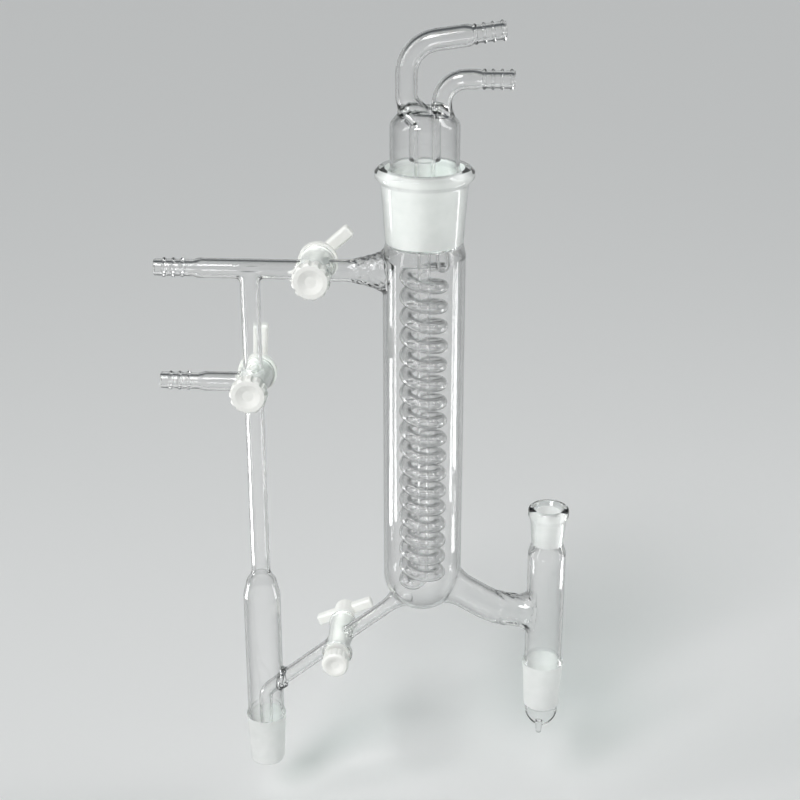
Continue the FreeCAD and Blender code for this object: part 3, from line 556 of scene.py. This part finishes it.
def glassHead():
    outside, hollow = [], []
    for part in (condenserGlass, columnGlass, topArmGlass, manifoldGlass, vapourArmGlass):
        made, bores = part()
        outside += made
        hollow += bores
    arms, drips, late = takeoffGlass()
    outside += arms
    for name, barrel, centre in (
            ("top barrel", largeBarrel, (places["topStopcockX"], 0, places["topArmZ"])),
            ("three-way barrel", largeBarrel, (places["manifoldX"], 0, places["lowerArmZ"])),
            ("takeoff barrel", smallBarrel, tuple(takeoffPoint(takeoff["stopcockAlong"])))):
        barrelOutside, plugHole = barrelGlass(name, barrel, centre)
        outside.append(barrelOutside)
        late.append(plugHole)
    head = combined(outside[0], outside[1:], "UNION")
    cavity = combined(hollow[0], hollow[1:], "UNION")
    head = combined(head, [cavity] + lipCuts(), "DIFFERENCE")
    head = combined(head, drips + [dripNub()], "UNION")
    head = combined(head, late, "DIFFERENCE")
    head.name = "blown_glass_head"
    return head


# Coil condenser: its own piece of glass, with its axis at zero here and moved to the condenser's at the end
insert = {"film": 0.1, "wall": 2.2, "bulb": 18.6, "bulbWall": 1.7, "bulbTopZ": 323.4, "topZ": 331.0,
          "crown": 12.0, "crownRise": 0.3, "shoulderLean": 0.66, "tubeSeal": (2.6, 4.5),
          "inletX": -9.8, "inletRadius": 5.8, "inletBore": 4.3, "inletBend": 18.0, "inletBendZ": 348.6,
          "inletRise": 8.4, "inletRun": 31.5, "outletX": 8.6, "outletRadius": 5.2, "outletBore": 3.7,
          "outletBend": 13.0, "outletZ": 346.5, "outletEnd": 46.5}
coil = {"radius": 10.0, "tube": 3.5, "bore": 2.25, "lowPitch": 10.4, "highPitch": 11.6, "turns": 17.5,
        "stepsPerTurn": 48, "bottomZ": 53.3}


def coilPath():
    # the water's way: out of the central tube's foot, up the coil's left-hand turns, into the closed cone
    footZ = coil["bottomZ"] - 0.7
    radius, lowPitch = coil["radius"], coil["lowPitch"]
    leadIn = [(0, 0, coil["bottomZ"] + 9, 0), (0, 0, footZ, 3.5), (-5, -6.5, footZ, 3.0),
              (-radius, -2.5, coil["bottomZ"] - 0.2, 3.0), (-radius, 0, coil["bottomZ"], 0)]
    steps = coil["stepsPerTurn"]
    turns = np.arange(1, round(coil["turns"] * steps) + 1) / steps
    angles = math.pi - 2 * math.pi * turns
    wider = (coil["highPitch"] - lowPitch) / coil["turns"]  # wound by hand, a little wider with each turn
    risen = lowPitch * turns + wider * turns ** 2 / 2
    helix = np.stack([radius * np.cos(angles), radius * np.sin(angles), coil["bottomZ"] + risen], axis=1)
    top = helix[-1]
    floorZ = jacket["groundTopZ"] - jacket["groundLength"]
    leadOut = [(*top, 0), (radius, -4.6, top[2] + 1.2, 4.0), (radius - 0.6, -4.6, floorZ + 0.6, 0)]
    return np.vstack([subdivided(rounded(leadIn), 1.5), helix, subdivided(rounded(leadOut), 1.5)[1:]])


def fromBulb(p):
    # distance from the bulb's conical shoulder, a share of the height above it, and from its flat crown
    away = np.hypot(p[..., 0], p[..., 1]) - insert["crown"]
    fall = (insert["topZ"] - insert["bulbTopZ"]) / (insert["bulb"] - insert["crown"])
    above = p[..., 2] - insert["topZ"] - insert["crownRise"] + fall * np.maximum(away, 0)
    return above * np.where(away > 0, insert["shoulderLean"], 1.0)


def waterTubes():
    # the water inlet with its bend, and the water outlet
    rise = math.radians(insert["inletRise"])
    towards = np.array([math.cos(rise), 0, math.sin(rise)])
    bend = insert["inletBend"]
    corner = np.array([insert["inletX"], 0, insert["inletBendZ"] + bend * math.tan((math.pi / 2 - rise) / 2)])
    end = corner + towards * (insert["inletRun"] + hose["waterLength"] - 0.2)
    top = insert["topZ"]
    bulbJoin = (fromBulb, *insert["tubeSeal"])
    inlet = [(*end, 0), (*corner, bend), (insert["inletX"], 0, top + 3.5, 8),
             (0, 0, top - 6.5, 7), (0, 0, top - 27, 0)]  # over to the axis under the bulb's roof
    inletOut, inletIn = hoseTube("water inlet", inlet, insert["inletRadius"], insert["inletBore"],
                                 hose["waterLength"], hose["inletRidges"], [bulbJoin])
    outletZ = insert["outletZ"]
    outlet = [(insert["outletEnd"], 0, outletZ, 0), (insert["outletX"], 0, outletZ, insert["outletBend"]),
              (insert["outletX"], 0, top - 4, 0)]
    outletOut, outletIn = hoseTube("water outlet", outlet, insert["outletRadius"], insert["outletBore"],
                                   hose["waterLength"], hose["outletRidges"], [bulbJoin])
    return [inletOut, outletOut], [inletIn, outletIn]


def coilCondenser():
    # a closed ground cone with its bulb, the central tube, the coil round it, and the two water tubes
    ground = jacket["groundTopZ"]
    low = ground - jacket["groundLength"]
    wide = jacket["ground"] - insert["film"]
    narrow = wide - jacket["groundLength"] * taper
    wall, bulbWall = insert["wall"], insert["bulbWall"]
    top, bulbTop, bulb, crown = insert["topZ"], insert["bulbTopZ"], insert["bulb"], insert["crown"]
    rise = insert["crownRise"]
    shell = turned("insert", [
        (0, low - 2.5, 0), (narrow - 0.4, low - 2.5, 3), (narrow, low + 3, 0), (wide, ground, 0.4),
        (bulb, ground + 2.6, 2), (bulb, bulbTop, 4), (crown, top, 4), (0, top + rise, 0)],
        (0, 0, 0), "Z", 96, 2.5)
    cavity = turned("insert cavity", [
        (0, low, 0), (narrow - wall, low, 2.5), (narrow - wall + 0.2, low + 4, 0), (wide - wall, ground, 0.6),
        (bulb - bulbWall, ground + 3, 2), (bulb - bulbWall, bulbTop - 0.5, 3.3),
        (crown - 0.8, top - bulbWall, 3.4), (0, top - bulbWall + rise, 0)], (0, 0, 0), "Z", 96, 2.5)
    inlet, inletBore, narrowed, bore = insert["inletRadius"], insert["inletBore"], coil["tube"], coil["bore"]
    foot = coil["bottomZ"] + 6
    central = turned("central tube", [
        (0, top - 26.5, 0), (inlet - 0.1, top - 26.5, 0), (inlet - 0.3, top - 34, 4),
        (narrowed, top - 46, 6), (narrowed, foot, 0), (0, foot, 0)], (0, 0, 0), "Z", 40, 4.0)
    centralBore = turned("central bore", [
        (0, top - 26, 0), (inletBore - 0.1, top - 26, 0), (inletBore - 0.2, top - 34, 4),
        (bore, top - 46, 6), (bore, foot - 0.5, 0), (0, foot - 0.5, 0)], (0, 0, 0), "Z", 32, 4.0)
    path = coilPath()
    coilOutside = tube("coil", path, narrowed, 24, asGiven)
    coilBore = tube("coil bore", path, bore, 14, asGiven)
    tubesOut, tubesIn = waterTubes()
    body = combined(shell, [cavity], "DIFFERENCE")
    body = combined(body, [central, coilOutside] + tubesOut, "UNION")
    body = combined(body, [centralBore, coilBore] + tubesIn, "DIFFERENCE")
    shiftMesh(body, places["condenserX"])
    body.name = "blown_coil_condenser"
    return body


def triangleCount(thing):
    return sum(len(face.vertices) - 2 for face in thing.data.polygons)


def shiftMesh(thing, x):
    for vertex in thing.data.vertices:
        vertex.co.x += x * millimetre


def linear(code):
    # sRGB hex to the linear colour that shaders use
    parts = [int(code[i:i + 2], 16) / 255 for i in (0, 2, 4)]
    return tuple(c / 12.92 if c <= 0.04045 else ((c + 0.055) / 1.055) ** 2.4 for c in parts) + (1.0,)


def addNode(tree, kind, settings=None, links=None):
    node = tree.nodes.new(kind)
    for key, value in (settings or {}).items():
        if isinstance(key, str) and hasattr(node, key):
            setattr(node, key, value)
        else:
            node.inputs[key].default_value = value
    for key, source in (links or {}).items():
        tree.links.new(source, node.inputs[key])
    return node


def emptyMaterial(name):
    material = bpy.data.materials.new(name)
    material.use_nodes = True
    tree = material.node_tree
    tree.nodes.clear()
    output = addNode(tree, "ShaderNodeOutputMaterial")
    return material, tree, output


def litThrough(tree, output, shader, shade):
    # lets lamps shine through the glass onto what is inside and behind it, a little dimmed
    rays = addNode(tree, "ShaderNodeLightPath")
    passing = addNode(tree, "ShaderNodeBsdfTransparent", {"Color": linear(shade)})
    mixed = addNode(tree, "ShaderNodeMixShader", {}, {
        0: rays.outputs["Is Shadow Ray"], 1: shader.outputs["BSDF"], 2: passing.outputs["BSDF"]})
    tree.links.new(mixed.outputs["Shader"], output.inputs["Surface"])


def clearGlass():
    # drawn borosilicate tube worked in a flame: clear and glossy, with slight waves that bend its highlights,
    # and a painted shade at its edges that stands in for the dark surroundings seen there; only a little of
    # it is the real darkening where the eye looks along the wall instead of through it
    look = {"tint": "FFFFFF", "paintedEdgeShade": "4E5456", "edgeShadePower": 2.0, "shadow": "EEF1F0", "refraction": 1.473,
            "waveLength": 16.0, "waveStrength": 0.035}
    material, tree, output = emptyMaterial("Borosilicate glass, flame worked")
    place = addNode(tree, "ShaderNodeTexCoord")
    waves = addNode(tree, "ShaderNodeTexNoise", {"Scale": 1000 / look["waveLength"], "Detail": 2.0},
                    {"Vector": place.outputs["Object"]})
    bump = addNode(tree, "ShaderNodeBump", {"Strength": look["waveStrength"], "Distance": 0.001},
                   {"Height": waves.outputs["Fac"]})
    # painted edge shade: the glass's colour turns dark grey where its surface faces away from the eye
    facing = addNode(tree, "ShaderNodeLayerWeight", {"Blend": 0.5})
    share = addNode(tree, "ShaderNodeMath", {"operation": "POWER", 1: look["edgeShadePower"]},
                    {0: facing.outputs["Facing"]})
    colour = addNode(tree, "ShaderNodeMix",
                     {"data_type": "RGBA", 6: linear(look["tint"]), 7: linear(look["paintedEdgeShade"])},
                     {"Factor": share.outputs["Value"]})
    shader = addNode(tree, "ShaderNodeBsdfPrincipled",
                     {"Roughness": 0.0, "IOR": look["refraction"], "Transmission Weight": 1.0},
                     {"Base Color": colour.outputs[2], "Normal": bump.outputs["Normal"]})
    litThrough(tree, output, shader, look["shadow"])
    return material


def groundGlass():
    # ground joint: the same glass cut by fine grit, so that it scatters light and looks white and satin;
    # the grit is drawn about ten times as coarse as it is, so that it shows
    look = {"light": "FFFFFE", "dark": "ECEEEC", "shadow": "D8DAD8", "roughness": 0.5, "refraction": 1.473,
            "transmission": 0.42, "grit": 0.35, "gritStrength": 0.3, "clouds": 6.0}
    material, tree, output = emptyMaterial("Borosilicate glass, ground joint")
    place = addNode(tree, "ShaderNodeTexCoord")
    grit = addNode(tree, "ShaderNodeTexNoise", {"Scale": 1000 / look["grit"], "Detail": 3.0},
                   {"Vector": place.outputs["Object"]})
    clouds = addNode(tree, "ShaderNodeTexNoise", {"Scale": 1000 / look["clouds"], "Detail": 4.0},
                     {"Vector": place.outputs["Object"]})
    colour = addNode(tree, "ShaderNodeMix",
                     {"data_type": "RGBA", 6: linear(look["light"]), 7: linear(look["dark"])},
                     {"Factor": clouds.outputs["Fac"]})
    bump = addNode(tree, "ShaderNodeBump", {"Strength": look["gritStrength"], "Distance": 0.0002},
                   {"Height": grit.outputs["Fac"]})
    shader = addNode(tree, "ShaderNodeBsdfPrincipled",
                     {"Roughness": look["roughness"], "IOR": look["refraction"],
                      "Transmission Weight": look["transmission"]},
                     {"Base Color": colour.outputs[2], "Normal": bump.outputs["Normal"]})
    litThrough(tree, output, shader, look["shadow"])
    return material


def turnedPlastic():
    # white fluoropolymer, turned on a lathe: waxy, dense white, with a faint mottle and fine tool marks,
    # which are drawn about four times as coarse as they are, so that they show
    look = {"light": "FBFBF8", "dark": "F1F1EC", "roughness": 0.36, "refraction": 1.38, "mottle": 2.2,
            "marks": 0.5, "markStrength": 0.12}
    material, tree, output = emptyMaterial("White fluoropolymer, turned")
    place = addNode(tree, "ShaderNodeTexCoord")
    mottle = addNode(tree, "ShaderNodeTexNoise", {"Scale": 1000 / look["mottle"], "Detail": 4.0},
                     {"Vector": place.outputs["Object"]})
    colour = addNode(tree, "ShaderNodeMix",
                     {"data_type": "RGBA", 6: linear(look["light"]), 7: linear(look["dark"])},
                     {"Factor": mottle.outputs["Fac"]})
    marks = addNode(tree, "ShaderNodeTexNoise", {"Scale": 1000 / look["marks"], "Detail": 2.0},
                    {"Vector": place.outputs["Object"]})
    bump = addNode(tree, "ShaderNodeBump", {"Strength": look["markStrength"], "Distance": 0.0002},
                   {"Height": marks.outputs["Fac"]})
    shader = addNode(tree, "ShaderNodeBsdfPrincipled",
                     {"Roughness": look["roughness"], "IOR": look["refraction"]},
                     {"Base Color": colour.outputs[2], "Normal": bump.outputs["Normal"]})
    tree.links.new(shader.outputs["BSDF"], output.inputs["Surface"])
    return material


def ringRubber():
    # moulded sealing ring: black and slightly dull, with a soft uneven skin, drawn coarse enough to show
    look = {"light": "1D1D1C", "dark": "111111", "roughness": 0.55, "refraction": 1.52, "grain": 1.1,
            "grainStrength": 0.2}
    material, tree, output = emptyMaterial("Black rubber, moulded")
    place = addNode(tree, "ShaderNodeTexCoord")
    grain = addNode(tree, "ShaderNodeTexNoise", {"Scale": 1000 / look["grain"], "Detail": 3.0},
                    {"Vector": place.outputs["Object"]})
    colour = addNode(tree, "ShaderNodeMix",
                     {"data_type": "RGBA", 6: linear(look["light"]), 7: linear(look["dark"])},
                     {"Factor": grain.outputs["Fac"]})
    bump = addNode(tree, "ShaderNodeBump", {"Strength": look["grainStrength"], "Distance": 0.0002},
                   {"Height": grain.outputs["Fac"]})
    shader = addNode(tree, "ShaderNodeBsdfPrincipled",
                     {"Roughness": look["roughness"], "IOR": look["refraction"]},
                     {"Base Color": colour.outputs[2], "Normal": bump.outputs["Normal"]})
    tree.links.new(shader.outputs["BSDF"], output.inputs["Surface"])
    return material


groundPlay = 0.25  # how far off a ground surface the middle of one of its faces may lie
barrelEdge = 0.2  # clear glass left at each end of a barrel's ground taper
sharpAngle = 38.0  # degrees between faces from which an edge is drawn sharp


def setGlass(thing, clear, ground, zones, barrels=()):
    # puts the ground material on faces whose middle is in an upright zone or in the taper of a plug
    # each zone: its axis' x, low z, high z, radius at the high z, and how far off that surface a face may lie
    mesh = thing.data
    mesh.validate()
    mesh.materials.clear()
    mesh.materials.append(clear)
    mesh.materials.append(ground)
    count = len(mesh.polygons)
    centres = np.empty(count * 3)
    mesh.polygons.foreach_get("center", centres)
    x, y, z = (centres.reshape(-1, 3) / millimetre).T
    index = np.zeros(count, dtype=np.int32)
    for atX, low, high, radius, play in zones:
        wanted = radius - (high - z) * taper
        index[(z > low) & (z < high) & (np.abs(np.hypot(x - atX, y) - wanted) < play)] = 1
    for barrel, atX, atZ in barrels:
        away = np.hypot(x - atX, z - atZ) - plugRadius(barrel, y)
        within = (y > barrelEdge - barrel["front"]) & (y < barrel["back"] - barrelEdge)
        index[within & (np.abs(away) < groundPlay)] = 1
    mesh.polygons.foreach_set("material_index", index)
    mesh.shade_smooth()
    mesh.set_sharp_from_angle(angle=math.radians(sharpAngle))
    mesh.update()


clear, ground = clearGlass(), groundGlass()
plastic, rubber = turnedPlastic(), ringRubber()
headGlass = glassHead()
takeoffCentre = takeoffPoint(takeoff["stopcockAlong"])
condenserX, groundTop = places["condenserX"], jacket["groundTopZ"]
groundLow = groundTop - jacket["groundLength"]
setGlass(headGlass, clear, ground, [
    (0, -column["coneLength"], 0, column["cone"], groundPlay),
    (0, column["socketFootZ"] + 0.2, column["rimZ"] - 2.6, column["socket"], groundPlay),
    (places["manifoldX"], manifold["coneEndZ"] - 0.7, manifold["coneZ"], manifold["cone"], groundPlay),
    (condenserX, groundLow, groundTop, jacket["ground"], groundPlay),
    (condenserX, groundTop - 0.1, jacket["rimZ"] - 0.1, jacket["ground"] + 0.8, 0.85)],  # the mouth's flare
    [(largeBarrel, places["topStopcockX"], places["topArmZ"]),
     (largeBarrel, places["manifoldX"], places["lowerArmZ"]),
     (smallBarrel, takeoffCentre[0], takeoffCentre[2])])
print("glass head", triangleCount(headGlass), "triangles")
insertGlass = coilCondenser()
setGlass(insertGlass, clear, ground, [
    (condenserX, groundLow, groundTop, jacket["ground"] - insert["film"], groundPlay)])
print("coil condenser", triangleCount(insertGlass), "triangles")
for thing, node in ((headGlass, "glass_head"), (insertGlass, "coil_condenser")):
    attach(thing, "head")
    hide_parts(node)

for name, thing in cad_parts.items():
    if name in ("glass_head", "coil_condenser"):
        continue
    material = rubber if name.endswith("sealing_ring") else plastic
    thing.data.materials.clear()
    thing.data.materials.append(material)
print("stopcock pieces")


# Studio, in metres: a floor a little below the head, a sun, two tall softboxes and two lamps on the floor
studio = {"floorColour": "ECEDEC", "floorRoughness": 0.7, "floorRadius": 40.0, "floorZ": -0.105,
          "target": (-0.085, 0, 0.16), "sunFrom": (-0.6, -0.9, 1.35), "sunStrength": 2.1, "sunSpread": 20,
          "softboxSize": (0.11, 0.8), "leftFrom": (-0.8, -0.25, 0.72), "leftPower": 1.9,
          "rightFrom": (0.7, 0.1, 0.75), "rightPower": 1.6, "stripLift": 0.005, "stripWidth": 0.08,
          "stripPower": 2.2, "leftStrip": ((-0.45, 0.1), (-1.3, 0.33)),
          "rightStrip": ((0.26, 0.1), (1.1, 0.36))}


def makeFloor():
    radius, sides = studio["floorRadius"], 64
    mesh = bpy.data.meshes.new("Floor")
    angles = [2 * math.pi * i / sides for i in range(sides)]
    rim = [(radius * math.cos(a), radius * math.sin(a), studio["floorZ"]) for a in angles]
    mesh.from_pydata(rim, [], [tuple(range(sides))])
    floor = bpy.data.objects.new("Floor", mesh)
    bpy.context.scene.collection.objects.link(floor)
    material, tree, output = emptyMaterial("Floor, pale matt")
    shader = addNode(tree, "ShaderNodeBsdfPrincipled",
                     {"Base Color": linear(studio["floorColour"]), "Roughness": studio["floorRoughness"]})
    tree.links.new(shader.outputs["BSDF"], output.inputs["Surface"])
    mesh.materials.append(material)
    return floor


def aimedAt(light, place):
    direction = np.array(studio["target"]) - np.array(place)
    direction = direction / np.linalg.norm(direction)
    light.location = place
    light.rotation_euler = (math.acos(-direction[2]), 0, math.atan2(direction[1], direction[0]) - math.pi / 2)
    bpy.context.scene.collection.objects.link(light)


def makeSun():
    data = bpy.data.lights.new("Sun", "SUN")
    data.energy, data.angle = studio["sunStrength"], math.radians(studio["sunSpread"])
    aimedAt(bpy.data.objects.new("Sun", data), studio["sunFrom"])


def makeSoftbox(name, place, power):
    data = bpy.data.lights.new(name, "AREA")
    data.energy, data.shape = power, "RECTANGLE"
    data.size, data.size_y = studio["softboxSize"]
    aimedAt(bpy.data.objects.new(name, data), place)


def makeFloorStrip(name, ends):
    # long lamp that lies on the floor, for the upright highlights of tubes that are seen from above
    data = bpy.data.lights.new(name, "AREA")
    data.energy, data.shape = studio["stripPower"], "RECTANGLE"
    start, end = np.array(ends)
    data.size, data.size_y = float(np.linalg.norm(end - start)), studio["stripWidth"]
    light = bpy.data.objects.new(name, data)
    light.location = (*((start + end) / 2), studio["floorZ"] + studio["stripLift"])
    light.rotation_euler = (math.pi, 0, math.atan2(end[1] - start[1], end[0] - start[0]))  # shines upward
    light.visible_camera = False
    bpy.context.scene.collection.objects.link(light)


def makeWorld():
    # studio room, pale at the horizon and dark overhead, which draws dark lines along the tops of level tubes
    look = {"horizon": "B8BAB9", "overhead": "54585B", "from": 0.08, "to": 0.4}
    world = bpy.data.worlds.new("Studio")
    world.use_nodes = True
    tree = world.node_tree
    place = addNode(tree, "ShaderNodeTexCoord")
    split = addNode(tree, "ShaderNodeSeparateXYZ", {}, {"Vector": place.outputs["Generated"]})
    share = addNode(tree, "ShaderNodeMapRange", {"From Min": look["from"], "From Max": look["to"]},
                    {"Value": split.outputs["Z"]})
    colour = addNode(tree, "ShaderNodeMix",
                     {"data_type": "RGBA", 6: linear(look["horizon"]), 7: linear(look["overhead"])},
                     {"Factor": share.outputs["Result"]})
    tree.links.new(colour.outputs[2], tree.nodes["Background"].inputs["Color"])
    bpy.context.scene.world = world


def makeCamera():
    view = {"lens": 69.75, "sensor": 36.0, "pitch": 22.5, "azimuth": 3.5, "distance": 0.870,
            "target": (-0.0856, 0.0, 0.1665)}
    pitch, azimuth = math.radians(view["pitch"]), math.radians(view["azimuth"])
    level = np.array([-math.sin(azimuth), math.cos(azimuth), 0.0])
    forward = level * math.cos(pitch) - np.array([0.0, 0.0, math.sin(pitch)])
    data = bpy.data.cameras.new("Camera")
    data.lens, data.sensor_width = view["lens"], view["sensor"]
    camera = bpy.data.objects.new("Camera", data)
    camera.location = np.array(view["target"]) - forward * view["distance"]
    camera.rotation_euler = (math.pi / 2 - pitch, 0, azimuth)
    bpy.context.scene.collection.objects.link(camera)
    bpy.context.scene.camera = camera


floor = makeFloor()
makeSun()
makeSoftbox("Left softbox", studio["leftFrom"], studio["leftPower"])
makeSoftbox("Right softbox", studio["rightFrom"], studio["rightPower"])
makeFloorStrip("Left floor strip", studio["leftStrip"])
makeFloorStrip("Right floor strip", studio["rightStrip"])
makeWorld()
makeCamera()
print("floor, lamps and camera")
scene = bpy.context.scene
scene.view_settings.view_transform = "Standard"
scene.cycles.max_bounces = 32  # a ray passes many walls of glass, one behind the other
scene.cycles.transmission_bounces = 32
scene.cycles.transparent_max_bounces = 16
